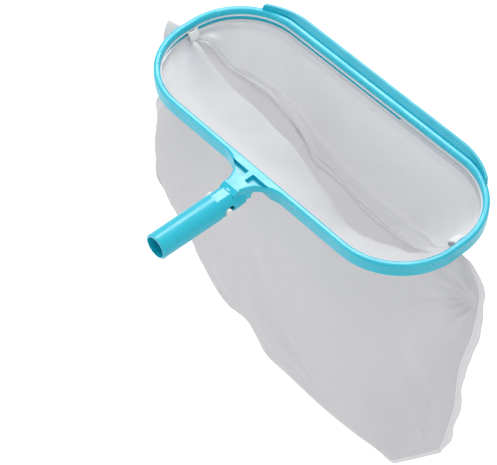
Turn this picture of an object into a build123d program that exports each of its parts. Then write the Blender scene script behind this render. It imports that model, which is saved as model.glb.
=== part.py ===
from build123d import *
import math
import os

os.makedirs("parts", exist_ok=True)

# Deep-bag leaf skimmer net: a moulded hoop with a tubular handle, and a fine mesh bag hung in its rim.
# The frame is set on the handle's axis. The pole comes off towards -Y, the hoop lies towards +Y and
# the bag hangs towards -Z.

# ---- driving dimensions, mm ----
# handle
spigot_d = 28.8            # slides into a 1-1/4 in pole
spigot_wall = 2.6
spigot_plain = 76.0        # full-round stretch between the open end and the clip zone
spigot_end_chamfer = 1.2
clip_zone = 24.0           # from the plain stretch up to the pole's stop
relief = 0.4               # the clip zone is this much smaller in radius
neck_flat_depth = 1.0      # flat on top of the clip zone
# yoke
yoke_length = 30.0         # from the rim to the pole's stop
neck_half = 10.5
flare_half = 52.0          # half width of the yoke where it meets the rim
flare_pull = 9.0           # how far out the flare's curve is pulled along the rim
ramp_length = 6.0
ramp_drop = 3.2
keel_half = 8.0
tube_in_yoke = 8.0         # how far the tube runs into the yoke
bore_floor = 3.0           # the bore ends this far before the pole's stop
hollow_long = 26.0         # hollows under the yoke
hollow_short = 13.0
hollow_depth = 8.0
handle_drop = 15.6         # handle's axis below the hoop's top
# pockets on top of the yoke
pocket_inset = 3.0
pocket_long = 24.0
pocket_short = 12.0
pocket_rib = 3.2           # half width of the rib between them
pocket_depth = 4.5
# rim
hoop_length = 420.0
hoop_width = 178.0
end_straight = 16.0        # straight stretch at each end, between the corners
rim_width = 7.0
rim_height = 16.0
rim_round = 2.4
groove_top = 7.0           # below the hoop's top
groove_height = 6.6
groove_depth = 4.3
foot_setback = 1.0         # the rim's foot stands back behind its inner face
# scoop lip
lip_reach = 7.5
lip_rise = 6.0             # its edge stands this far above the hoop's top
lip_thick = 2.8
lip_end_gap = 42.0         # the lip's edge ends this far before the hoop's ends
lip_end_slant = 3.0        # and its foot this much further out
lip_edge_gap = 6.0         # its edge would round off this far before them
lip_corner_more = 6.0      # its corner is this much larger in radius than the hoop's
lip_root_gap = 5.4         # its root is this far below the hoop's top
# hem and retaining strips
tape = 0.9                 # thickness of the folded hem tape
tape_show = 0.9            # the tape shows this far inside the rim
strip_gap = 0.2
strip_thick = 2.4
strip_joint = 3.0          # gap between two strips
strip_joint_x = 40.0       # where the long bars' strips meet
seam_slot = 16.0           # gap between the strips at each side seam
# bag
cloth = 1.0
cloth_gap = 0.4            # the cloth hangs this far inside the rim
bag_depth = 472.0
bag_corner_depth = 375.0
bag_bottom_half = 110.0
bag_closed_half_y = 2.4    # half width where the bag closes: at its bottom and at the flap's crest
bag_spread = 5.0           # the bag is this much longer below the rim, at each end
foot_clear = 2.0           # it hangs straight to this far below the rim's foot
# How the bag hangs: share of the corners' depth, of the spread, and of the mouth's width on the near and
# the far side. The near panel falls inward in a flap, down to a crest that all but reaches the plane of
# the seams, and swells out again below it.
bag_swell = (
    (0.10, 0.3, 1.0, 0.97),
    (0.22, 0.6, 0.0, 0.78),
    (0.33, 0.8, 0.33, 0.66),
    (0.48, 1.0, 0.55, 0.54),
    (0.70, 1.0, 0.56, 0.42),
    (1.0, 0.6, 0.33, 0.22),
)
seam_width = 12.0
seam_thick = 1.6
seam_gap = 0.3             # between a seam and the cloth beside it
bottom_seam_width = 6.0
tab_width = 13.0
tab_length = 18.0
tab_thick = 1.2
# pole clip
arm_length = 50.0
arm_thick = 1.8
arm_width = 9.0
button_d = 8.0
button_y = 8.0             # from the start of the clip zone
button_proud = 3.0
button_round = 1.4
slot_length = 13.0
slot_play = 0.35
clip_gap = 0.3
root_x = 3.4               # half the spring's width at its bow

# ---- places worked out from them ----
spigot_r = spigot_d / 2
bore_r = spigot_r - spigot_wall
relief_r = spigot_r - relief
y_clip = spigot_plain / 2
y_open = -y_clip - spigot_end_chamfer
y_stop = y_clip + clip_zone
y_rim = y_stop + yoke_length
y_mid = y_rim + hoop_width / 2
z_top = handle_drop
z_foot = z_top - rim_height
groove_floor = z_top - groove_top - groove_height
groove_roof = z_top - groove_top
slot_y = y_clip + button_y + (slot_length - button_d) / 2 - slot_play
bite = 1.5                 # how far joined blocks reach into each other

# outline of the rim's inner face
hoop_corner = (hoop_width - end_straight) / 2
inner_length = hoop_length - 2 * rim_width
inner_width = hoop_width - 2 * rim_width
inner_corner = hoop_corner - rim_width


def level(z):
    """The horizontal plane at height z, centred on the hoop."""
    return Plane((0, y_mid, z))


def across(y):
    """The plane across the handle at y, facing the hoop."""
    return Plane(origin=(0, y, 0), x_dir=(1, 0, 0), z_dir=(0, 1, 0))


def rim_band(inside, outside):
    """Sketch the band between two distances outward from the rim's inner face."""
    RectangleRounded(inner_length + 2 * outside, inner_width + 2 * outside, inner_corner + outside)
    RectangleRounded(
        inner_length + 2 * inside, inner_width + 2 * inside, inner_corner + inside, mode=Mode.SUBTRACT
    )


def lip_outline(inset):
    """Sketch the outline whose far side is the lip's edge."""
    with Locations((0, lip_reach)):
        RectangleRounded(
            hoop_length - 2 * lip_edge_gap - 2 * inset,
            hoop_width - 2 * inset,
            hoop_corner + lip_corner_more - inset,
        )


def pocket(side, start, long_leg, short_leg):
    """Sketch a triangular pocket with one corner cut, its long leg beside the near bar."""
    high = y_rim - pocket_inset
    low = high - short_leg
    Polygon(
        (side * start, high),
        (side * (start + long_leg), high),
        (side * (start + short_leg / 2), low),
        (side * start, low),
        align=None,
    )


# ---- hoop and handle: one moulding ----
with BuildPart() as hoop_frame:
    # rim, in three levels: foot, groove wall and head
    with BuildSketch(level(z_foot)):
        rim_band(foot_setback, rim_width)
    extrude(amount=groove_floor - z_foot)
    with BuildSketch(level(groove_floor)):
        rim_band(groove_depth, rim_width)
    extrude(amount=groove_height)
    with BuildSketch(level(groove_roof)):
        rim_band(0, rim_width)
    extrude(amount=groove_top)
    # yoke, whose sides flare into the near bar
    with BuildSketch(Plane.XY.offset(z_foot)):
        with BuildLine():
            for side in (-1, 1):
                Bezier(
                    (side * neck_half, y_stop),
                    (side * (neck_half + flare_pull / 4), y_stop + yoke_length / 2),
                    (side * (neck_half + flare_pull), y_rim),
                    (side * flare_half, y_rim + bite / 2),
                )
                Line((side * flare_half, y_rim + bite / 2), (side * flare_half, y_rim + bite))
            Line((-neck_half, y_stop), (neck_half, y_stop))
            Line((-flare_half, y_rim + bite), (flare_half, y_rim + bite))
        make_face()
    extrude(amount=rim_height)
    top_edges = edges().group_by(Axis.Z)[-1]
    neck_edge = top_edges.filter_by(GeomType.LINE).sort_by(Axis.Y)[0]
    fillet([edge for edge in top_edges if edge != neck_edge], radius=rim_round)
    # handle tube, smaller in radius over the clip zone, closed at the yoke
    with BuildSketch(across(-y_clip)):
        Circle(spigot_r)
    extrude(amount=spigot_plain)
    with BuildSketch(across(y_clip)):
        Circle(relief_r)
    extrude(amount=clip_zone + tube_in_yoke)
    with BuildSketch(across(-y_clip)):
        Circle(spigot_r)
    extrude(amount=-spigot_end_chamfer, taper=45)
    # ramp from the top of the neck down to the flat, which stops the pole
    with BuildSketch(Plane.YZ.offset(-neck_half)):
        with BuildLine():
            Polyline(
                (y_stop - ramp_length, 0),
                (y_stop - ramp_length, z_top - ramp_drop),
                (y_stop, z_top),
                (y_stop + bite, z_top),
                (y_stop + bite, 0),
                close=True,
            )
        make_face()
    extrude(amount=2 * neck_half)
    # keel that carries the tube's underside into the near bar
    with BuildSketch(Plane.YZ.offset(-keel_half)):
        with BuildLine():
            Polyline(
                (y_stop, bite - relief_r),
                (y_stop + tube_in_yoke, bite - relief_r),
                (y_rim + bite, z_foot),
                (y_rim + bite, groove_floor),
                (y_stop, groove_floor),
                close=True,
            )
        make_face()
    extrude(amount=2 * keel_half)
    # the bore, the flat on top of the clip zone and the two button slots
    with BuildSketch(across(y_open)):
        Circle(bore_r)
    extrude(amount=y_stop - bore_floor - y_open, mode=Mode.SUBTRACT)
    with BuildSketch(Plane.XY.offset(relief_r - neck_flat_depth)):
        with Locations((0, (y_clip + y_stop - ramp_length) / 2)):
            Rectangle(2 * spigot_r, clip_zone - ramp_length)
    extrude(amount=spigot_r, mode=Mode.SUBTRACT)
    with BuildSketch(Plane.YZ.offset(-spigot_r)):
        with Locations((slot_y, 0)):
            SlotOverall(slot_length, button_d + 2 * slot_play)
    extrude(amount=2 * spigot_r, mode=Mode.SUBTRACT)
    # blind pockets on top of the yoke and hollows under it
    for side in (-1, 1):
        with BuildSketch(Plane.XY.offset(z_top - pocket_depth)):
            pocket(side, pocket_rib, pocket_long, pocket_short)
        extrude(amount=pocket_depth, mode=Mode.SUBTRACT)
        with BuildSketch(Plane.XY.offset(z_foot)):
            pocket(side, keel_half + bite, hollow_long, hollow_short)
        extrude(amount=hollow_depth, mode=Mode.SUBTRACT)
hoop_frame.part.label = "hoop_frame"
export_step(hoop_frame.part, "parts/hoop_frame.step")

# ---- scoop lip: a thin strip along the outside of the far bar, that slopes up and outward ----
lip_root = z_top - lip_root_gap
lip_top = z_top + lip_rise
lip_half = hoop_length / 2 - lip_end_gap
with BuildPart() as scoop_lip:
    for inset, cut in ((0, Mode.ADD), (lip_thick, Mode.SUBTRACT)):
        with BuildSketch(level(lip_root)):
            RectangleRounded(hoop_length - 2 * inset, hoop_width - 2 * inset, hoop_corner - inset)
        with BuildSketch(level(lip_top)):
            lip_outline(inset)
        loft(ruled=True, mode=cut)
    # its length, with slanted ends
    with BuildSketch(Plane(origin=(0, y_mid, 0), x_dir=(1, 0, 0), z_dir=(0, -1, 0))):
        Polygon(
            (-lip_half - lip_end_slant, lip_root),
            (lip_half + lip_end_slant, lip_root),
            (lip_half, lip_top),
            (-lip_half, lip_top),
            align=None,
        )
    extrude(amount=-hoop_width, mode=Mode.INTERSECT)
    # the rim that it lies against
    with BuildSketch(level(lip_root)):
        RectangleRounded(hoop_length, hoop_width, hoop_corner)
    extrude(amount=lip_root_gap, mode=Mode.SUBTRACT)
scoop_lip.part.label = "scoop_lip"
export_step(scoop_lip.part, "parts/scoop_lip.step")

# ---- retaining strips, snapped into the groove over the hem ----
strip_in = groove_depth - 2 * strip_gap - tape - strip_thick
strip_height = groove_height - 3 * strip_gap - tape
for row, row_name in ((-1, "near"), (1, "far")):
    for column, column_name in ((-1, "left"), (1, "right")):
        joint_x = strip_joint_x + column * strip_joint / 2
        end_x = column * hoop_length / 2
        with BuildPart() as rim_strip:
            with BuildSketch(level(groove_floor + strip_gap)):
                rim_band(strip_in, strip_in + strip_thick)
                with Locations(((joint_x + end_x) / 2, row * (seam_slot + hoop_width) / 2)):
                    Rectangle(abs(end_x - joint_x), hoop_width, mode=Mode.INTERSECT)
            extrude(amount=strip_height)
        rim_strip.part.label = f"rim_strip_{row_name}_{column_name}"
        export_step(rim_strip.part, f"parts/rim_strip_{row_name}_{column_name}.step")

# ---- hem tapes: folded white tape round each panel's top edge, gripped in the groove ----
tape_back = groove_depth - strip_gap
for row, row_name in ((-1, "near"), (1, "far")):
    with BuildPart() as hem_tape:
        for bottom, height, inside in (
            (groove_floor + strip_gap, groove_height - 2 * strip_gap, tape_back - tape),
            (groove_roof - strip_gap - tape, tape, -tape_show),
        ):
            with BuildSketch(level(bottom)):
                rim_band(inside, tape_back)
                with Locations((0, row * (strip_gap + hoop_width) / 2)):
                    Rectangle(hoop_length, hoop_width, mode=Mode.INTERSECT)
            extrude(amount=height)
    hem_tape.part.label = f"hem_tape_{row_name}"
    export_step(hem_tape.part, f"parts/hem_tape_{row_name}.step")

# ---- bag: two mesh panels that meet at the side seams and the bottom seam ----
bag_top = groove_roof - tape - 2 * strip_gap
bag_half_x = inner_length / 2 - cloth_gap
bag_half_y = inner_width / 2 - cloth_gap
z_corner = z_top - bag_corner_depth
z_bottom = z_top - bag_depth

# height, half length and half width on each side, from the bag's mouth to its bottom seam
bag_form = [(z, bag_half_x, {-1: bag_half_y, 1: bag_half_y}) for z in (bag_top, z_foot - foot_clear)]
for share_down, share_spread, near_share, far_share in bag_swell:
    bag_form.append(
        (
            z_top - share_down * bag_corner_depth,
            bag_half_x + share_spread * bag_spread,
            {-1: max(near_share * bag_half_y, bag_closed_half_y), 1: far_share * bag_half_y},
        )
    )
bag_form.append((z_bottom, bag_bottom_half, {-1: bag_closed_half_y, 1: bag_closed_half_y}))
corner_share = (inner_corner - cloth_gap) / bag_half_y
for row, row_name in ((-1, "near"), (1, "far")):
    with BuildPart() as mesh_panel:
        for inset, cut in ((0, Mode.ADD), (cloth, Mode.SUBTRACT)):
            for z, half_x, half_widths in bag_form:
                half_y = half_widths[row]
                up = 0
                if z == bag_top or z == z_bottom:
                    up = inset
                with BuildSketch(level(z + up)):
                    RectangleRounded(
                        2 * (half_x - inset), 2 * (half_y - inset), corner_share * half_y - inset
                    )
            loft(ruled=True, mode=cut)
        with BuildSketch(level(z_bottom)):
            with Locations((0, row * hoop_width / 2)):
                Rectangle(2 * hoop_length, hoop_width)
        extrude(amount=bag_depth, mode=Mode.INTERSECT)
    mesh_panel.part.label = f"mesh_{row_name}_panel"
    export_step(mesh_panel.part, f"parts/mesh_{row_name}_panel.step")

# ---- seams: allowances that stand out from the bag where the panels are sewn together ----
upright = Plane(origin=(0, y_mid, 0), x_dir=(1, 0, 0), z_dir=(0, -1, 0))
seam_form = [(half_x + seam_gap, z) for z, half_x, half_widths in bag_form[1:-1]]
for side, side_name in ((-1, "left"), (1, "right")):
    inner_line = [(side * x, z) for x, z in seam_form]
    outer_line = [(side * (x + seam_width), z) for x, z in reversed(seam_form)]
    with BuildPart() as side_seam:
        with BuildSketch(upright):
            Polygon(*inner_line, *outer_line, align=None)
        extrude(amount=seam_thick / 2, both=True)
    side_seam.part.label = f"side_seam_{side_name}"
    export_step(side_seam.part, f"parts/side_seam_{side_name}.step")

    # white tab folded over the seam's top end, inside the rim
    tab_x = side * (bag_half_x - cloth - seam_gap - tab_thick / 2)
    with BuildPart() as seam_tab:
        with BuildSketch(Plane((tab_x, y_mid, bag_top))):
            Rectangle(tab_thick, tab_width)
        extrude(amount=-tab_length)
        fillet(edges().filter_by(Axis.X).group_by(Axis.Z)[0], radius=tab_width / 4)
    seam_tab.part.label = f"seam_tab_{side_name}"
    export_step(seam_tab.part, f"parts/seam_tab_{side_name}.step")

corner_x = bag_form[-2][1]
with BuildPart() as bottom_seam:
    with BuildSketch(upright):
        Polygon(
            (-corner_x - seam_gap, z_corner - seam_gap),
            (-bag_bottom_half - seam_gap, z_bottom - seam_gap),
            (bag_bottom_half + seam_gap, z_bottom - seam_gap),
            (corner_x + seam_gap, z_corner - seam_gap),
            (corner_x + bottom_seam_width, z_corner - bottom_seam_width / 2),
            (bag_bottom_half + bottom_seam_width / 2, z_bottom - bottom_seam_width),
            (-bag_bottom_half - bottom_seam_width / 2, z_bottom - bottom_seam_width),
            (-corner_x - bottom_seam_width, z_corner - bottom_seam_width / 2),
            align=None,
        )
    extrude(amount=seam_thick / 2, both=True)
bottom_seam.part.label = "bottom_seam"
export_step(bottom_seam.part, "parts/bottom_seam.step")

# ---- pole clip: a nylon spring with two buttons ----
y_bow = y_clip + button_y - arm_length
root_y = y_bow + clip_gap + arm_thick / 2
tip_y = y_clip + button_y + button_d / 2
tip_x = math.sqrt(bore_r**2 - (arm_width / 2) ** 2) - clip_gap - arm_thick / 2
with BuildPart() as clip_bow:
    with BuildSketch(Plane.XY.offset(-arm_width / 2)):
        with Locations((0, y_bow)):
            Circle(root_x + arm_thick / 2)
            Circle(root_x - arm_thick / 2, mode=Mode.SUBTRACT)
        with Locations((0, y_bow - bore_r / 2)):
            Rectangle(2 * bore_r, bore_r, mode=Mode.INTERSECT)
    extrude(amount=arm_width)
clip_bow.part.label = "clip_bow"
export_step(clip_bow.part, "parts/clip_bow.step")

for side, side_name in ((-1, "left"), (1, "right")):
    lean = math.atan2(tip_y - root_y, side * (tip_x - root_x))
    with BuildPart() as clip_arm:
        with BuildSketch(Plane.XY.offset(-arm_width / 2)):
            with Locations((side * (root_x + tip_x) / 2, (root_y + tip_y) / 2)):
                SlotCenterToCenter(
                    math.hypot(tip_x - root_x, tip_y - root_y), arm_thick, rotation=math.degrees(lean)
                )
        extrude(amount=arm_width)
        button_plane = Plane(
            origin=(side * (tip_x - arm_thick / 2), y_clip + button_y, 0), x_dir=(0, 1, 0), z_dir=(side, 0, 0)
        )
        with BuildSketch(button_plane):
            Circle(button_d / 2)
        extrude(amount=relief_r + button_proud - tip_x + arm_thick / 2)
        fillet(faces().sort_by(Axis.X)[-1 if side > 0 else 0].edges(), radius=button_round)
    clip_arm.part.label = f"clip_arm_{side_name}"
    export_step(clip_arm.part, f"parts/clip_arm_{side_name}.step")
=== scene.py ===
import math

import bpy
import numpy as np
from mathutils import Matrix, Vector, noise


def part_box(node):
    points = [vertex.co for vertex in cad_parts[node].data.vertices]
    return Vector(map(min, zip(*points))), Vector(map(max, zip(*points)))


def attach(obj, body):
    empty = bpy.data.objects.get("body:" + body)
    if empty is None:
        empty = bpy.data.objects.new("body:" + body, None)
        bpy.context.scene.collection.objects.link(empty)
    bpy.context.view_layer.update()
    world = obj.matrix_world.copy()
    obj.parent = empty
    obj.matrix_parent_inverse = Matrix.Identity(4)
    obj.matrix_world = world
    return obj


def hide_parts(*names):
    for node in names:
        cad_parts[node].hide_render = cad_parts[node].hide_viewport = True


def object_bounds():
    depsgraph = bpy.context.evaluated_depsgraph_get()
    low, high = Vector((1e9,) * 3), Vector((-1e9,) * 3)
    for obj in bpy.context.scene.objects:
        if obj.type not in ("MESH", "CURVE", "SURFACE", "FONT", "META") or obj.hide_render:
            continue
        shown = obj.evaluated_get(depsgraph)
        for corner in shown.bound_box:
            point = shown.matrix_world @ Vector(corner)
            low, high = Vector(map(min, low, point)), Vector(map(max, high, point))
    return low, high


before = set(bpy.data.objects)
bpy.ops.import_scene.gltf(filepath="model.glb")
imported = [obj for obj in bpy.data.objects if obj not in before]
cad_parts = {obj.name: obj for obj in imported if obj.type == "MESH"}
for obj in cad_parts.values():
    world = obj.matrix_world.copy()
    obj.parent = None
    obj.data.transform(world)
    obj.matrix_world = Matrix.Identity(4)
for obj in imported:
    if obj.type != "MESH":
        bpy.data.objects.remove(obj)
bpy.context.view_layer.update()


# ---- The camera: above and to the near right of the net, looking down into its mouth ----
# A long lens from about two metres, level, so that the hoop is seen with little perspective.
camera_aim = Vector((0.0150, 0.0721, -0.0531))
camera_distance = 2.100
camera_azimuth = math.radians(48.30)
camera_elevation = math.radians(50.61)
lens_mm = 146.46
sensor_mm = 36
far_clip = 30


def direction(azimuth, elevation):
    """The direction so far round the net, from the handle's side, and so far above it, in radians."""
    level = math.cos(elevation)
    return Vector((math.sin(azimuth) * level, -math.cos(azimuth) * level, math.sin(elevation)))


towards_camera = direction(camera_azimuth, camera_elevation)
camera = bpy.data.objects.new("camera", bpy.data.cameras.new("camera"))
camera.data.sensor_width = sensor_mm
camera.data.lens = lens_mm
camera.data.clip_end = far_clip
camera.location = camera_aim + camera_distance * towards_camera
camera.rotation_euler = towards_camera.to_track_quat("Z", "Y").to_euler()
bpy.context.scene.collection.objects.link(camera)
bpy.context.scene.camera = camera


# ---- The studio: a pale floor well below the hanging bag, a pale room and four soft lamps ----
# The floor shows white and still takes the net's shadow. The strongest lamp stands high behind the
# net, so that the upper faces of the plastic get their sheen.
floor_drop = 0.60
floor_half = 6.0
paper_grey = 0.80
paper_glow = 0.62
room_light = 0.50
floor_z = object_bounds()[0][2] - floor_drop
floor_mesh = bpy.data.meshes.new("floor")
floor_mesh.from_pydata(
    [(x * floor_half, y * floor_half, floor_z) for x, y in ((-1, -1), (1, -1), (1, 1), (-1, 1))],
    [],
    [(0, 1, 2, 3)],
)
floor = bpy.data.objects.new("floor", floor_mesh)
bpy.context.scene.collection.objects.link(floor)


def seen_or_mirrored(nodes, links):
    """One for what the camera sees, directly, in a gloss or through the net, and zero for light."""
    path = nodes.new("ShaderNodeLightPath")
    total = path.outputs["Is Camera Ray"]
    for ray in ("Is Glossy Ray", "Is Transmission Ray"):
        larger = nodes.new("ShaderNodeMath")
        larger.operation = "MAXIMUM"
        links.new(total, larger.inputs[0])
        links.new(path.outputs[ray], larger.inputs[1])
        total = larger.outputs[0]
    return total


def end_tree(nodes, links, lighting, shown, output):
    """End a node tree with one shader that lights the net and another that the camera sees."""
    choose = nodes.new("ShaderNodeMixShader")
    out = nodes.new(output)
    links.new(seen_or_mirrored(nodes, links), choose.inputs["Fac"])
    links.new(lighting.outputs[0], choose.inputs[1])
    links.new(shown.outputs[0], choose.inputs[2])
    links.new(choose.outputs[0], out.inputs["Surface"])


def room_colour(nodes, strength):
    """White background light of a given strength."""
    background = nodes.new("ShaderNodeBackground")
    background.inputs["Color"].default_value = (1, 1, 1, 1)
    background.inputs["Strength"].default_value = strength
    return background


paper = bpy.data.materials.new("white floor paper")
paper.use_nodes = True
nodes, links = paper.node_tree.nodes, paper.node_tree.links
nodes.clear()
matt = nodes.new("ShaderNodeBsdfDiffuse")
matt.inputs["Color"].default_value = (paper_grey, paper_grey, paper_grey, 1)
glow = nodes.new("ShaderNodeEmission")
glow.inputs["Strength"].default_value = paper_glow
glowing = nodes.new("ShaderNodeAddShader")
links.new(matt.outputs[0], glowing.inputs[0])
links.new(glow.outputs[0], glowing.inputs[1])
end_tree(nodes, links, matt, glowing, "ShaderNodeOutputMaterial")
floor_mesh.materials.append(paper)

room = bpy.data.worlds.new("pale room")
bpy.context.scene.world = room
room.use_nodes = True
nodes, links = room.node_tree.nodes, room.node_tree.links
nodes.clear()
end_tree(nodes, links, room_colour(nodes, room_light), room_colour(nodes, 1.0), "ShaderNodeOutputWorld")

net_middle = Vector((0, 0.18, -0.05))
# each lamp's name, its direction in degrees round and up, its distance and width in metres, and its watts
lamps = (
    ("high_back_lamp", 228, 52, 1.9, 0.80, 18.5),
    ("overhead_lamp", 48, 82, 2.2, 1.3, 8),
    ("near_left_lamp", -30, 8, 2.2, 1.6, 16),
    ("near_right_lamp", 78, 14, 2.4, 1.4, 11.5),
)
for lamp_name, azimuth, elevation, distance, size, watts in lamps:
    lamp = bpy.data.objects.new(lamp_name, bpy.data.lights.new(lamp_name, "AREA"))
    lamp.data.shape = "DISK"
    lamp.data.size = size
    lamp.data.energy = watts
    away = direction(math.radians(azimuth), math.radians(elevation))
    lamp.location = net_middle + distance * away
    lamp.rotation_euler = away.to_track_quat("Z", "Y").to_euler()
    bpy.context.scene.collection.objects.link(lamp)
bpy.context.scene.view_settings.view_transform = "Standard"


# ---- Hoop, yoke and handle: one moulding in satin turquoise polypropylene ----
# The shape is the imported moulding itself. Its surface has a fine spark-eroded grain, the faint flow
# marks of injected plastic, and places that are rubbed a little glossier than the rest.
flow_scale, flow_detail, flow_distortion = 14, 4, 1.2
flow_low, flow_high = 0.42, 0.72
rub_scale, rub_detail = 55, 6
rub_low, rub_high = 0.3, 0.7
rub_polish, rub_dulling = 0.05, 0.07
grain_scale, grain_detail, grain_strength = 2600, 2, 0.35
plastic_sheen = 0.55


def noise_texture(nodes, links, place, scale, detail, distortion=0):
    """The value of a noise in three dimensions."""
    texture = nodes.new("ShaderNodeTexNoise")
    texture.inputs["Scale"].default_value = scale
    texture.inputs["Detail"].default_value = detail
    texture.inputs["Distortion"].default_value = distortion
    links.new(place, texture.inputs["Vector"])
    return texture.outputs["Fac"]


def spread(nodes, links, value, low, high, new_low=0, new_high=1):
    """A value taken from low..high to new_low..new_high."""
    mapped = nodes.new("ShaderNodeMapRange")
    mapped.inputs["From Min"].default_value = low
    mapped.inputs["From Max"].default_value = high
    mapped.inputs["To Min"].default_value = new_low
    mapped.inputs["To Max"].default_value = new_high
    links.new(value, mapped.inputs["Value"])
    return mapped.outputs["Result"]


def tint(nodes, links, share, colour, other):
    """A colour that goes over to another by a share."""
    mixed = nodes.new("ShaderNodeMix")
    mixed.data_type = "RGBA"
    mixed.inputs["A"].default_value = (*colour, 1)
    mixed.inputs["B"].default_value = (*other, 1)
    links.new(share, mixed.inputs["Factor"])
    return mixed


def relief(nodes, links, height, strength, distance):
    """The normal of a surface that is raised by a height."""
    bump = nodes.new("ShaderNodeBump")
    bump.inputs["Strength"].default_value = strength
    bump.inputs["Distance"].default_value = distance
    links.new(height, bump.inputs["Height"])
    return bump.outputs["Normal"]


def plastic(name, colour, shade, roughness, grain_depth):
    """Satin moulded plastic: colour with slow flow marks towards a deeper shade, and a fine grain."""
    made = bpy.data.materials.new(name)
    made.use_nodes = True
    nodes, links = made.node_tree.nodes, made.node_tree.links
    body = nodes["Principled BSDF"]
    place = nodes.new("ShaderNodeTexCoord").outputs["Object"]
    flow = noise_texture(nodes, links, place, flow_scale, flow_detail, flow_distortion)
    marks = tint(nodes, links, spread(nodes, links, flow, flow_low, flow_high), colour, shade)
    links.new(marks.outputs["Result"], body.inputs["Base Color"])
    rub = noise_texture(nodes, links, place, rub_scale, rub_detail)
    polished, dulled = roughness - rub_polish, roughness + rub_dulling
    links.new(spread(nodes, links, rub, rub_low, rub_high, polished, dulled), body.inputs["Roughness"])
    grain = noise_texture(nodes, links, place, grain_scale, grain_detail)
    links.new(relief(nodes, links, grain, grain_strength, grain_depth), body.inputs["Normal"])
    body.inputs["Specular IOR Level"].default_value = plastic_sheen
    return made


def finish_node(name, material):
    """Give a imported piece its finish."""
    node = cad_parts[name]
    if not node.material_slots:
        node.data.materials.append(material)
    for place in node.material_slots:
        place.material = material


hoop_plastic = plastic("turquoise moulding", (0.009, 0.525, 0.680), (0.006, 0.485, 0.650), 0.30, 0.00006)
finish_node("hoop_frame", hoop_plastic)


# ---- Scoop lip: a separate softer strip welded along the outside of the far bar ----
# It scrapes leaves off the wall and floor of a pool. The softer plastic is a shade deeper and more matt.
lip_plastic = plastic("lip moulding", (0.007, 0.460, 0.605), (0.005, 0.420, 0.575), 0.42, 0.00010)
finish_node("scoop_lip", lip_plastic)


# ---- Retaining strips: four turquoise strips snapped into the groove over the bag's hem ----
# They are extruded in the hoop's colour, and come out a little glossier than the moulding.
strip_plastic = plastic("snap-in strip", (0.008, 0.505, 0.660), (0.006, 0.470, 0.640), 0.28, 0.00003)
for row in ("near", "far"):
    for column in ("left", "right"):
        finish_node(f"rim_strip_{row}_{column}", strip_plastic)


# ---- Bag: two panels of fine nylon netting, sewn together at both sides and along the bottom ----
# Each panel hangs from its half of the rim. The near one has fallen inwards under the rim and makes a
# crest from one side seam to the other; the far one has slack, which lies in two soft creases.
hoop_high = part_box("hoop_frame")[1]
far_low, far_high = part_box("mesh_far_panel")
MM = 0.001
middle = Vector((0, far_low.y, hoop_high.z))       # the middle of the hoop, at its top
rim_half_x = 0.2026
rim_half_y = far_high.y - far_low.y
rim_end_flat_half = 0.008
rim_corner = rim_half_y - rim_end_flat_half
rim_corner_steps = 24
steps_between_points = 50
shortest_step = 1e-9


def pick(line, along, at):
    """The points of a line at the given places along it."""
    return np.stack([np.interp(at, along, line[:, k]) for k in range(3)], 1)


def even(line, count):
    """The same line with count points at even steps."""
    along = np.concatenate([[0], np.cumsum(np.linalg.norm(np.diff(line, axis=0), axis=1))])
    return pick(line, along, np.linspace(0, along[-1], count))


def weighed(at, low, high, first, last):
    """Points on the way from first, at the place low, to last, at the place high."""
    return ((high - at) * first + (at - low) * last) / (high - low)


def smooth_line(points, count):
    """Spread count points evenly along a smooth line through a few given ones."""
    points = np.array(points, float)
    points = np.vstack([2 * points[0] - points[1], points, 2 * points[-1] - points[-2]])
    lengths = np.linalg.norm(np.diff(points, axis=0), axis=1)
    knots = np.concatenate([[0], np.cumsum(np.maximum(lengths, shortest_step) ** 0.5)])
    line = []
    for i in range(1, len(points) - 2):
        before, start, end, after = knots[i - 1:i + 3]
        at = np.linspace(start, end, steps_between_points, endpoint=False)[:, None]
        first = weighed(at, before, start, points[i - 1], points[i])
        second = weighed(at, start, end, points[i], points[i + 1])
        third = weighed(at, end, after, points[i + 1], points[i + 2])
        early = weighed(at, before, end, first, second)
        late = weighed(at, start, after, second, third)
        line.append(weighed(at, start, end, early, late))
    return even(np.vstack([*line, points[-2][None]]), count)


def rim_line(side, height, inset, count):
    """Half of the rim's inner face, from the left seam to the right one, at a height from its top."""
    half_x, half_y, corner = rim_half_x - inset, rim_half_y - inset, rim_corner - inset
    outline = [(-half_x, 0)]
    for x_side in (-1, 1):
        for turn in np.linspace(0, math.pi / 2, rim_corner_steps):
            angle = turn if x_side < 0 else math.pi / 2 - turn
            outline.append((
                x_side * (half_x - corner + corner * math.cos(angle)),
                half_y - corner + corner * math.sin(angle),
            ))
    outline.append((half_x, 0))
    return even(np.array([(x, side * y, height) for x, y in outline]), count)


columns = 181
rows = 241
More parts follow.
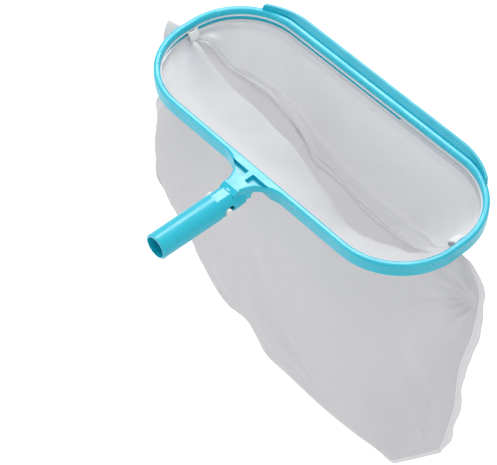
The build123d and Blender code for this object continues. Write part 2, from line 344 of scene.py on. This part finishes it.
# the two side seams in mm, from under the rim to the bag's corners, and the bottom seam between them
seam_lines = {
    "left": smooth_line(MM * np.array([
        (-202, 0, -14), (-201.6, 0, -36), (-205, -5, -58), (-213, -18, -92), (-218, -30, -118),
        (-222, -30, -163), (-222, -30, -197), (-225, -30, -226), (-221, -30, -251), (-210, -24, -282),
        (-205, -12, -327), (-204, -1, -370),
    ]), rows),
    "right": smooth_line(MM * np.array([
        (202, 0, -14), (202, 6, -22), (208, 10, -30), (216, 11, -40), (223, 11.5, -50), (229.5, 12, -63),
        (231, 12.5, -84), (231, 10.5, -116), (230.5, 10, -134), (225.5, 10, -166), (220, 10, -199),
        (219, 10, -231), (219.5, 10, -256), (219.5, 10, -283), (217.5, 8, -313), (214.5, 6, -346),
        (213.5, 1.5, -363),
    ]), rows),
}
bottom_line = smooth_line(MM * np.array([
    (-204, -1, -370), (-195, 0, -394), (-184, 0, -411), (-160, 0, -433), (-132, 0, -438), (-106, 0, -438),
    (-88, 0, -456), (-73, 0, -472), (-30, 0, -474), (24, 0, -476), (76, 0, -471), (127, 0, -461),
    (144, 0, -461), (163, 0, -437), (213.5, 1.5, -363),
]), columns)


def across_bag(share, *points):
    """A line from the left seam to the right one at a share of their length, through points in mm."""
    i = round(share * (rows - 1))
    inner = [MM * np.array(p, float) for p in points]
    return smooth_line([seam_lines["left"][i], *inner, seam_lines["right"][i]], columns)


def rise(values, low, high):
    """A soft step from 0 at low to 1 at high."""
    t = np.clip((values - low) / (high - low), 0, 1)
    return t * t * (3 - 2 * t)


edge_height, edge_inset = -0.0138, 0.0003
# from here to the right, the far panel's edge comes out over the strip
over_strip_from, over_strip_within = 0.038, 0.008
over_strip_lift, over_strip_shrink = 0.0062, 0.005
leave_height, leave_inset = -0.0165, 0.0005
# how much lower the far panel comes clear of the long bar, and how far out along y that starts and ends
leave_drop, leave_from, leave_to = 0.0215, 0.045, 0.078


def top_line(side):
    """The panel's upper edge: under the strip, but in front of it on the right of the far bar."""
    line = rim_line(side, edge_height, edge_inset, columns)
    if side > 0:
        over_strip = np.clip((line[:, 0] - over_strip_from) / over_strip_within, 0, 1)
        line[:, 2] += over_strip_lift * over_strip
        line[:, :2] *= (1 - over_strip_shrink * over_strip)[:, None]
    return line


def under_strip(side):
    """The line where a panel leaves the rim: just below the strip, and lower along the far bar."""
    line = rim_line(side, leave_height, leave_inset, columns)
    line[:, 2] -= leave_drop * (side > 0) * rise(np.abs(line[:, 1]), leave_from, leave_to)
    return line


fine_count = 1500
fold_density, fold_reach = 4, 0.010
seam_blend = 24


def cloth_grid(lines, folds):
    """A smooth sheet through the given lines, finer by its folds, with the side seams as its edges.

    folds are the numbers of the lines that lie on a fold. Over seam_blend columns at either side, the
    cloth turns in to its seam.
    """
    lines = np.array(lines)
    sheet = np.empty((rows, columns, 3))
    places = np.empty((rows, columns))
    along = np.linspace(0, 1, fine_count)
    for k in range(columns):
        fine = smooth_line(lines[:, k], fine_count)
        length = np.linalg.norm(np.diff(fine, axis=0), axis=1).sum()
        density = np.ones(fine_count)
        for fold in folds:
            there = along[np.argmin(np.linalg.norm(fine - lines[fold, k], axis=1))]
            density += fold_density * np.exp(-((along - there) * length / fold_reach) ** 2)
        share = np.concatenate([[0], np.cumsum(density[1:] + density[:-1])])
        places[:, k] = np.interp(np.linspace(0, share[-1], rows), share, along)
        sheet[:, k] = pick(fine, along, places[:, k])
    for name, edge, inwards in (("left", 0, 1), ("right", columns - 1, -1)):
        seam = even(seam_lines[name], fine_count)
        off = pick(seam, along, places[:, edge]) - sheet[:, edge]
        for k in range(seam_blend):
            sheet[:, edge + inwards * k] += off * (1 - k / seam_blend) ** 2
    return sheet


def beside(fold, *steps):
    """The lines beside a fold, each a (share of the seams, y, z) step in mm away from it."""
    return [across_bag(share, *(np.array(fold) + (0, y, z))) for share, y, z in steps]


# the crest of the near panel, which has fallen inwards, and the two folds in the far panel's slack, in mm
crest = [
    (-187, -1, -18), (-168, -2, -28), (-137, 0, -43), (-106, 1, -49), (-75, 2, -57), (-42, 2, -63),
    (-11, 3, -78), (21, 3, -94), (40, 3, -106), (53, 3, -112), (68, 3, -112), (98, 3, -103), (126, 4, -88),
    (147, 5, -74), (164, 7, -58), (177, 10, -43),
]
upper_fold = [
    (-186, 16, -23), (-169, 37, -62), (-145, 46, -68), (-119, 54, -76), (-84, 60, -96), (-57, 58, -107),
    (-30, 57, -108), (-3, 56, -118), (19, 56, -118), (46, 55, -121), (77, 54, -116), (95, 52, -116),
    (123, 46, -101), (157, 34, -81), (180, 22, -50),
]
lower_fold = [
    (-186, 8, -20), (-180, 20, -41), (-169, 28, -60), (-145, 36, -66), (-119, 42, -73), (-83, 46, -98),
    (-50, 46, -123), (-24, 46, -125), (-1, 46, -128), (19, 45, -134), (42, 44, -136), (63, 42, -134),
    (94, 38, -125), (131, 30, -104), (170, 20, -66),
]
near_lines = [
    top_line(-1),
    under_strip(-1),
    across_bag(0.010, (-170, -38, -33), (-105, -45, -50), (0, -42, -66), (70, -44, -79), (150, -42, -60)),
    *beside(
        crest,
        (0.013, -5.0, 1.2), (0.016, 0.0, 0.6), (0.019, 1.0, -2.4), (0.030, -4.5, -8.0), (0.060, -12, -17),
    ),
    across_bag(
        0.18,
        (-190, -34, -78), (-121, -34, -90), (-50, -30, -105), (20, -24, -125), (70, -22, -142),
        (125, -22, -130), (185, -14, -98),
    ),
    across_bag(
        0.34,
        (-190, -56, -135), (-110, -56, -150), (0, -42, -170), (90, -38, -175), (180, -26, -145),
    ),
    across_bag(
        0.60,
        (-180, -50, -235), (-100, -52, -250), (0, -44, -262), (100, -42, -258), (180, -24, -236),
    ),
    across_bag(
        0.85,
        (-170, -26, -325), (-90, -34, -350), (0, -30, -362), (100, -28, -356), (180, -12, -325),
    ),
    bottom_line,
]
far_lines = [
    top_line(1),
    under_strip(1),
    *beside(upper_fold, (0.012, 3.0, 4.5), (0.015, -1.2, 1.2), (0.018, -2.0, -2.0)),
    *beside(lower_fold, (0.022, 4.5, -1.6), (0.026, 0.0, 1.4), (0.029, -1.4, -1.6), (0.038, 3.0, -8.0)),
    across_bag(0.12, *(np.array(lower_fold[2::2]) + (0, 6, -26))),
    across_bag(0.36, (-170, 22, -165), (-90, 40, -185), (0, 46, -210), (100, 46, -210), (180, 34, -175)),
    across_bag(0.60, (-170, 14, -240), (-90, 28, -262), (0, 36, -278), (100, 36, -274), (180, 24, -242)),
    across_bag(0.85, (-160, 8, -330), (-90, 18, -352), (0, 20, -366), (100, 20, -360), (180, 10, -328)),
    bottom_line,
]


smallest_area = 1e-12


def sheet_normals(sheet):
    """The unit normals of a grid of points."""
    normal = np.cross(np.gradient(sheet, axis=1), np.gradient(sheet, axis=0))
    return normal / np.maximum(np.linalg.norm(normal, axis=2, keepdims=True), smallest_area)


def ripple(across, down, wide, long, seed):
    """Perlin waves, so wide across the cloth and so long down it."""
    flat = zip((across / wide).ravel(), (down / long).ravel())
    values = [noise.noise(Vector((a, b, seed))) for a, b in flat]
    return np.array(values).reshape(across.shape)


# the hanging net's waves, in metres: long folds, and a slow warp that keeps them from lying straight
fold_height, fold_width, fold_length = 0.0092, 0.10, 0.42
warp_height, warp_size = 0.03, 0.16
# creases: height, lean across the fall, share of the warp down it, width, length, and step in the seed
creases = (
    (-0.0044, 0.35, 0, 0.075, 0.30, 11),
    (-0.0034, -0.5, 1, 0.060, 0.24, 17),
    (-0.0014, 0.6, 0, 0.030, 0.17, 19),
)
uneven_height, uneven_width, uneven_length = 0.0007, 0.016, 0.020
warp_seed, uneven_seed, pucker_seed = 5, 23, 31
# how far from its edges the net is still held straight, against large waves and against small ones
held_under_rim, free_under_rim, free_from_seam = 0.03, 0.14, 0.03
small_under_rim, small_from_seam = 0.05, 0.01
# a pucker near the lower right corner
pucker_in, pucker_up, pucker_reach = 0.035, 0.040, 0.016
pucker_height, pucker_width, pucker_length = 0.0045, 0.012, 0.014
# soft ridges that fan out over the right end from where the seam swings out
fan_x, fan_z = 0.231, -0.080
fan_height, fan_ridges, fan_reach = 0.0044, 15, 0.050
fan_near, fan_far = 0.004, 0.03
fan_top, fan_full = 0.028, 0.045


def crumple(sheet, seed):
    """Give a hanging panel its long soft folds, its creases and the small unevenness of thin net."""
    steps = np.linalg.norm(np.diff(sheet, axis=1), axis=2)
    across = np.concatenate([np.zeros((rows, 1)), np.cumsum(steps, axis=1)], axis=1)
    steps = np.linalg.norm(np.diff(sheet, axis=0), axis=2)
    down = np.concatenate([np.zeros((1, columns)), np.cumsum(steps, axis=0)], axis=0)
    from_right = across[:, -1:] - across
    from_side = np.minimum(across, from_right)
    from_bottom = down[-1:] - down

    warp = warp_height * ripple(across, down, warp_size, warp_size, seed + warp_seed)
    waves = fold_height * ripple(across + warp, down, fold_width, fold_length, seed)
    for height, lean, warped, wide, long, step in creases:
        slanted = across + lean * down + warp
        waves = waves + height * np.abs(ripple(slanted, down - warped * warp, wide, long, seed + step))
    from_pucker = np.hypot(from_right - pucker_in, from_bottom - pucker_up)
    gathers = np.abs(ripple(across, down, pucker_width, pucker_length, seed + pucker_seed))
    waves = waves + pucker_height * np.exp(-(from_pucker / pucker_reach) ** 2) * gathers
    free = rise(down, held_under_rim, free_under_rim)
    free = free * rise(from_side, 0, free_from_seam) * rise(from_bottom, 0, free_from_seam)

    aside, above = fan_x - sheet[:, :, 0], sheet[:, :, 2] - fan_z
    reach = np.hypot(aside, above)
    fan = fan_height * np.sin(fan_ridges * np.arctan2(above, aside))
    fan = fan * rise(reach, fan_near, fan_far) * np.exp(-reach / fan_reach)
    fan *= rise(-sheet[:, :, 2], fan_top, fan_full)
    small = fan + uneven_height * ripple(across, down, uneven_width, uneven_length, seed + uneven_seed)
    small_free = rise(down, 0, small_under_rim) * rise(from_side, 0, small_from_seam)
    depth = free * waves + small_free * small
    return sheet + sheet_normals(sheet) * depth[:, :, None]


netting_sheets = {
    "near": crumple(cloth_grid(near_lines, (4,)), 2.0),
    "far": crumple(cloth_grid(far_lines, (3, 6)), 41.0),
}


def sheet_object(name, sheet, cloth):
    """A smooth mesh of a grid of points, set in place under the hoop."""
    down_count, across_count = sheet.shape[:2]
    mesh = bpy.data.meshes.new(name)
    mesh.from_pydata(
        [tuple(p) for p in (sheet + np.array(middle)).reshape(-1, 3)],
        [],
        [
            (i * across_count + k, i * across_count + k + 1,
             (i + 1) * across_count + k + 1, (i + 1) * across_count + k)
            for i in range(down_count - 1)
            for k in range(across_count - 1)
        ],
    )
    across = np.linalg.norm(np.diff(sheet[0], axis=0), axis=1).sum()
    down = np.linalg.norm(np.diff(sheet[:, across_count // 2], axis=0), axis=1).sum()
    weave = mesh.attributes.new("weave", "FLOAT_VECTOR", "POINT")
    u, v = np.meshgrid(np.linspace(0, across, across_count), np.linspace(0, down, down_count))
    weave.data.foreach_set("vector", np.stack([u, v, 0 * u], -1).astype(np.float32).ravel())
    mesh.materials.append(cloth)
    mesh.shade_smooth()
    piece = bpy.data.objects.new(name, mesh)
    bpy.context.scene.collection.objects.link(piece)
    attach(piece, "net")
    return piece


def thicken(piece, thickness):
    """Give a sheet a thickness, with closed edges."""
    solid = piece.modifiers.new("thickness", "SOLIDIFY")
    solid.thickness = thickness
    solid.offset = 0


net_pitch = 0.00042
hole_depth = -0.5
stitch_pitch, stitch_half_width, stitch_height = 0.0030, 0.00045, 3
stitch_up_above = -0.5                             # the wave level over which a stitch lies on top
stitch_white = (0.95, 0.95, 0.96)
slub_scale, slub_detail, slub_shade = 420, 3, 0.90
weave_strength, weave_depth = 0.4, 0.00005
thread_roughness, thread_sheen = 0.62, 0.3
level_samples = 400


def woven(name, colour, open_share, glow_through, pitch=net_pitch, stitches=()):
    """Woven nylon: raised threads with small holes between them, which scatter and pass light.

    open_share is the share of holes. stitches are (axis, place) rows of sewing thread, along the cloth's
    other axis: 0 is across the sheet and 1 down it, in metres from its edge.
    """
    made = bpy.data.materials.new(name)
    made.use_nodes = True
    nodes, links = made.node_tree.nodes, made.node_tree.links
    nodes.clear()

    def result(operation, first, second=0):
        """The result of one sum on one or two values, each an output or a number."""
        node = nodes.new("ShaderNodeMath")
        node.operation = operation
        for place, value in enumerate((first, second)):
            if isinstance(value, (int, float)):
                node.inputs[place].default_value = value
            else:
                links.new(value, node.inputs[place])
        return node.outputs[0]

    weave = nodes.new("ShaderNodeAttribute")
    weave.attribute_name = "weave"
    parts = nodes.new("ShaderNodeSeparateXYZ")
    links.new(weave.outputs["Vector"], parts.inputs[0])
    turns = [result("SINE", result("MULTIPLY", parts.outputs[k], math.tau / pitch)) for k in (0, 1)]
    holes = result("MULTIPLY", turns[0], turns[1])
    height = result("MULTIPLY", holes, hole_depth)
    sewn = None
    for axis, place in stitches:
        off = result("ABSOLUTE", result("SUBTRACT", parts.outputs[axis], place))
        beat = result("SINE", result("MULTIPLY", parts.outputs[1 - axis], math.tau / stitch_pitch))
        in_row = result("LESS_THAN", off, stitch_half_width)
        row = result("MULTIPLY", in_row, result("GREATER_THAN", beat, stitch_up_above))
        sewn = row if sewn is None else result("MAXIMUM", sewn, row)
    slub = noise_texture(nodes, links, weave.outputs["Vector"], slub_scale, slub_detail)
    shown = tint(nodes, links, slub, [slub_shade * c for c in colour], colour).outputs["Result"]
    if sewn is not None:
        stitched = tint(nodes, links, sewn, colour, stitch_white)
        links.new(shown, stitched.inputs["A"])
        shown = stitched.outputs["Result"]
        height = result("ADD", height, result("MULTIPLY", sewn, stitch_height))
    thread = nodes.new("ShaderNodeBsdfPrincipled")
    thread.inputs["Roughness"].default_value = thread_roughness
    thread.inputs["Specular IOR Level"].default_value = thread_sheen
    links.new(shown, thread.inputs["Base Color"])
    links.new(relief(nodes, links, height, weave_strength, weave_depth), thread.inputs["Normal"])
    through = nodes.new("ShaderNodeBsdfTranslucent")
    links.new(shown, through.inputs["Color"])
    surface = nodes.new("ShaderNodeMixShader")
    surface.inputs["Fac"].default_value = glow_through
    links.new(thread.outputs[0], surface.inputs[1])
    links.new(through.outputs[0], surface.inputs[2])
    if open_share > 0:
        # the product of two sines stands above this level over the wanted share of the cloth
        sines = np.sin(np.linspace(0, math.tau, level_samples, endpoint=False))
        level = float(np.quantile(np.outer(sines, sines), 1 - open_share))
        cloth = surface
        surface = nodes.new("ShaderNodeMixShader")
        links.new(result("GREATER_THAN", holes, level), surface.inputs["Fac"])
        links.new(cloth.outputs[0], surface.inputs[1])
        links.new(nodes.new("ShaderNodeBsdfTransparent").outputs[0], surface.inputs[2])
    out = nodes.new("ShaderNodeOutputMaterial")
    links.new(surface.outputs[0], out.inputs["Surface"])
    return made


net_cloth = woven("fine nylon netting", (0.785, 0.785, 0.805), 0.06, 0.26)
for side, sheet in netting_sheets.items():
    sheet_object(f"netting_{side}", sheet, net_cloth)
    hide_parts(f"mesh_{side}_panel")


# ---- Hem: the panels' upper edges, folded over a white tape and gripped in the rim's groove ----
# A thin white bead shows over the strips, and the turned-down netting hangs behind as a double band.
tape_pitch = 0.0008
tape_thickness = 0.0005
tape_cloth = woven("white tape", (0.92, 0.92, 0.94), 0, 0.12, pitch=tape_pitch)
band_cloth = woven("hem netting", (0.95, 0.95, 0.97), 0.02, 0.20, stitches=((1, 0.0030),))
# sections in mm, each point its distance inwards from the rim's inner face and its height from the top
hem_profile = MM * np.array([
    (-3.9, -12.8), (-3.9, -8.4), (-3.5, -7.8), (-1.6, -7.6), (0.6, -7.4), (1.0, -7.6), (1.0, -8.0),
    (0.6, -8.2), (-1.6, -8.3),
])
band_profiles = {
    "near": MM * np.array([(-0.8, -16.5), (-0.9, -19), (-0.8, -22), (-0.9, -25)]),
    "far": MM * np.array([(2.2, -16.5), (2.0, -20), (2.0, -24), (1.7, -28)]),
}


def swept(side, profile):
    """A grid that follows half of the rim, one line for each (inwards, height) pair."""
    return np.array([rim_line(side, height, inset, columns) for inset, height in profile])


hung_with = {"near": [], "far": []}
for name, side in (("near", -1), ("far", 1)):
    tape = sheet_object(f"hem_{name}", swept(side, hem_profile), tape_cloth)
    thicken(tape, tape_thickness)
    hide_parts(f"hem_tape_{name}")
    band = sheet_object(f"hem_band_{name}", swept(side, band_profiles[name]), band_cloth)
    hung_with[name] += [tape, band]


# ---- Side seams: the panels' edges sewn together, with the raw allowance standing out as a fin ----
# The fins wave a little, and the top of the left one pokes out under the rim like an ear. The places
# where each thing starts and ends are shares of the seam's length, from the rim down.
fin_steps = 15
fin_thickness = 0.0006
fin_start = 0.036
fin_width, fin_width_wave, fin_width_period = 0.0100, 0.0012, 0.14
fin_curl, fin_curl_period, fin_root_curl = 0.45, 0.15, 0.5
taper, taper_from = 0.55, 0.93
ear_width, ear_full, ear_end = 0.0235, 0.085, 0.16
ear_height, ear_level, ear_bend_from, ear_bend_to = 0.0150, 0.095, 0.2, 0.42
ear_curl, ear_curl_rate = 0.14, 70
left_turn, left_turn_from, left_turn_to = 0.20, 0.08, 0.3
curl_seed = 7
under_rim = round(fin_start * rows)
share = np.linspace(0, 1, rows)[under_rim:]
fins = {}
doubled_net = woven("doubled netting", (0.90, 0.90, 0.92), 0.02, 0.16, stitches=((0, 0.0012), (0, 0.0062)))
for name, side, seed in (("left", -1, 3.0), ("right", 1, 9.0)):
    width = fin_width + fin_width_wave * ripple(share, share, fin_width_period, fin_width_period, seed)
    turn = fin_curl * ripple(share, share, fin_curl_period, fin_curl_period, seed + curl_seed)
    ear_lift = 0 * share
    if name == "left":
        ear = 1 - rise(share, ear_full, ear_end)
        ear_lift = ear_height * (1 - rise(share, fin_start, ear_level))
        width = width + ear_width * ear
        turn = turn + ear_curl * ear * np.sin(ear_curl_rate * share)
        turn = turn - left_turn * rise(share, left_turn_from, left_turn_to)
    width = width * (1 - taper * rise(share, taper_from, 1.0))
    grid = []
    for step in np.linspace(0, 1, fin_steps):
        curl = turn * (fin_root_curl + step)
        out_x = side * width * step * np.cos(curl)
        out_y = width * step * np.sin(curl)
        lift = ear_lift * rise(step, ear_bend_from, ear_bend_to)
        grid.append(seam_lines[name][under_rim:] + np.stack([out_x, out_y, lift], 1))
    grid = np.array(grid).transpose(1, 0, 2)
    fin = sheet_object(f"side_seam_fin_{name}", grid, doubled_net)
    thicken(fin, fin_thickness)
    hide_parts(f"side_seam_{name}")
    fins[name] = fin


# ---- Bottom seam: the same seam along the cut corners and the flat bottom ----
# The allowance is trimmed narrower here, and stands straight out from the bag's edge.
bottom_steps = 5
bottom_width = 0.0045
out_direction = np.cross(np.gradient(bottom_line, axis=0), (0, 1, 0))
out_direction /= np.linalg.norm(out_direction, axis=1, keepdims=True)
out_direction *= np.sign(-out_direction[columns // 2, 2])
grid = np.array([bottom_line + out_direction * out for out in np.linspace(0, bottom_width, bottom_steps)])
bottom_fin = sheet_object("bottom_seam_fin", grid.transpose(1, 0, 2), doubled_net)
thicken(bottom_fin, fin_thickness)
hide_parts("bottom_seam")


# ---- Seam tabs: a short white tape folded over the top of each side seam, inside the rim ----
# Each hangs from the groove and bows inwards; the right one is slack, and has slipped towards the far bar.
tab_rows, tab_half_columns = 15, 4
tab_half_width, tab_drop, tab_thickness = 0.0068, 0.019, 0.0012
tab_top, tab_gap, tab_cupping = -0.0072, 0.0016, 0.0012
tab_taper, tab_taper_power = 0.25, 6
for name, side, off_middle, slack in (("left", -1, 0.0014, 0.0045), ("right", 1, 0.0095, 0.0115)):
    grid = []
    for down in np.linspace(0, 1, tab_rows):
        inner = slack * math.sin(math.pi * down) + tab_gap
        half = tab_half_width * (1 - tab_taper * down ** tab_taper_power)
        line = []
        for k in range(-tab_half_columns, tab_half_columns + 1):
            from_middle = k / tab_half_columns
            x = side * (rim_half_x - inner - tab_cupping * (1 - from_middle ** 2))
            line.append((x, off_middle + half * from_middle, tab_top - tab_drop * down))
        grid.append(line)
    tab = sheet_object(f"seam_tab_cloth_{name}", np.array(grid), tape_cloth)
    thicken(tab, tab_thickness)
    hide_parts(f"seam_tab_{name}")
    hung_with["near"].append(tab)

hung_with["near"] += [*fins.values(), bottom_fin]


# ---- Pole clip: one white nylon spring, a bow inside the handle with a button on each arm ----
# It is pushed in from the handle's open end, and its buttons snap out through the two slots.
nylon = plastic("natural nylon", (0.86, 0.86, 0.83), (0.82, 0.82, 0.78), 0.38, 0.00003)
for name in ("clip_bow", "clip_arm_left", "clip_arm_right"):
    finish_node(name, nylon)
